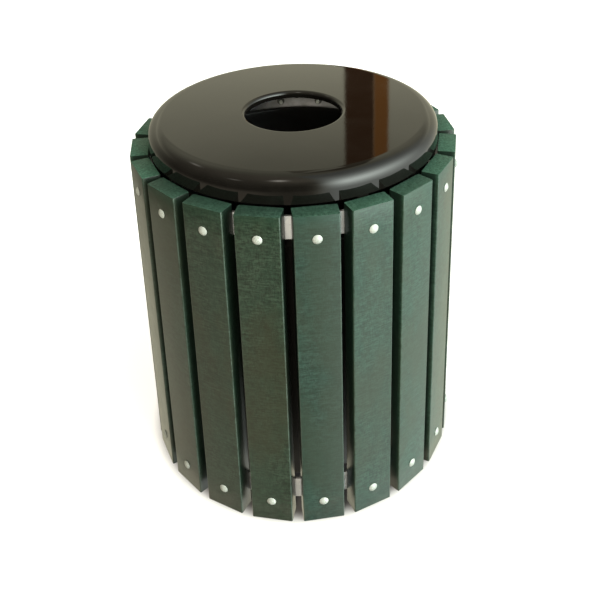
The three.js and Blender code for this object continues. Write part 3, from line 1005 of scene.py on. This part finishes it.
# above the door: the post's dark upper end leans right into a beam overhead
mid = W.curve(el, [(27, 1.6), (32, 3.0), (36, 5.0), (40, 7.4), (44, 9.8), (48, 12.2), (52, 14.0), (66, 14.5)])
half = W.curve(el, [(27, 1.3), (36, 2.6), (46, 3.6), (50, 6.0), (55, 11.0), (60, 13.0), (70, 15.0)])
off_mid = W.m("DIVIDE", W.m("ABSOLUTE", W.m("SUBTRACT", az, mid)), half)
beam = W.m("MULTIPLY", W.step(off_mid, 1.25, 0.75), W.m("MULTIPLY", W.step(el, 28.0, 30.0), W.step(el, 74.0, 58.0)))
seam = W.m("MULTIPLY", W.step(W.m("ABSOLUTE", W.m("ADD", az, 2.4)), 2.2, 1.2), W.m("MULTIPLY", W.step(el, 28.6, 30.0), W.step(el, 60.0, 54.0)))
tone = W.mix(W.m("MULTIPLY", seam, 0.6), tone, (0.14, 0.10, 0.06))
tone = W.mix(dark_post, tone, (0.108, 0.048, 0.020))
tone = W.mix(light_post, tone, (0.48, 0.195, 0.045))
tone = W.mix(W.m("MULTIPLY", beam, 0.9), tone, (0.12, 0.085, 0.05))

# straight down there is only the bin's own shade
tone = W.lift(tone, W.step(el, -74, -52, 0.30, 1.0))

w_bg = wt.nodes.new("ShaderNodeBackground")
wt.links.new(tone, w_bg.inputs[0])
w_bg.inputs[1].default_value = 1.0
w_cam = wt.nodes.new("ShaderNodeBackground")
w_cam.inputs[0].default_value = (1, 1, 1, 1)
w_cam.inputs[1].default_value = 1.05
w_path = wt.nodes.new("ShaderNodeLightPath")
w_sel = wt.nodes.new("ShaderNodeMixShader")
w_out = wt.nodes.new("ShaderNodeOutputWorld")
wt.links.new(w_path.outputs["Is Camera Ray"], w_sel.inputs[0])
wt.links.new(w_bg.outputs[0], w_sel.inputs[1])
wt.links.new(w_cam.outputs[0], w_sel.inputs[2])
wt.links.new(w_sel.outputs[0], w_out.inputs[0])


def area(name, loc, target, size, power, colour, size_y=None, spread=None):
    d = bpy.data.lights.new(name, "AREA")
    d.shape = "RECTANGLE"
    d.size = size
    d.size_y = size_y or size
    d.energy = power
    d.color = colour
    if spread:
        d.spread = math.radians(spread)
    o = bpy.data.objects.new(name, d)
    scene.collection.objects.link(o)
    o.location = loc
    o.rotation_mode = "QUATERNION"
    o.rotation_quaternion = (Vector(target) - Vector(loc)).to_track_quat("-Z", "Y")
    return o


fill = area("front_fill", (-0.22, -2.5, 1.80), (0, 0.1, 0.6), 0.6, 44, (1.0, 0.90, 0.74))
fill.visible_glossy = False

# --------------------------------------------------------------------- camera
CAM = Vector((0.0924, -1.6795, 1.5435))
yaw, pitch, roll = math.radians(-0.78), math.radians(21.05), math.radians(-1.14)
fw = Vector((math.sin(yaw) * math.cos(pitch), math.cos(yaw) * math.cos(pitch), -math.sin(pitch)))
right = fw.cross(Vector((0, 0, 1))).normalized()
up = right.cross(fw)
r2 = right * math.cos(roll) + up * math.sin(roll)
u2 = -right * math.sin(roll) + up * math.cos(roll)
cam_data = bpy.data.cameras.new("camera")
cam = bpy.data.objects.new("camera", cam_data)
scene.collection.objects.link(cam)
cam_data.sensor_fit = "HORIZONTAL"
cam_data.sensor_width = 36.0
cam_data.lens = 828.0 / 600.0 * 36.0
m = Matrix((r2, u2, -fw)).transposed().to_4x4()
m.translation = CAM
cam.matrix_world = m
scene.camera = cam

# The photograph's frame is off the lens's axis, so the camera is shifted, but
# only at its own station: a camera moved round the object looks straight.
for prop, value in (("shift_x", -0.04), ("shift_y", -0.3783)):
    setattr(cam_data, prop, value)
    drv = cam_data.driver_add(prop).driver
    drv.type = "SCRIPTED"
    for axis, letter in (("LOC_X", "x"), ("LOC_Y", "y"), ("LOC_Z", "z")):
        v = drv.variables.new()
        v.name = letter
        v.type = "TRANSFORMS"
        v.targets[0].id = cam
        v.targets[0].transform_type = axis
        v.targets[0].transform_space = "WORLD_SPACE"
    drv.expression = f"{value} if abs(x - {CAM.x:.4f}) + abs(y - {CAM.y:.4f}) + abs(z - {CAM.z:.4f}) < 0.01 else 0.0"

scene.view_settings.view_transform = "Standard"
scene.view_settings.look = "None"

bpy.context.view_layer.update()
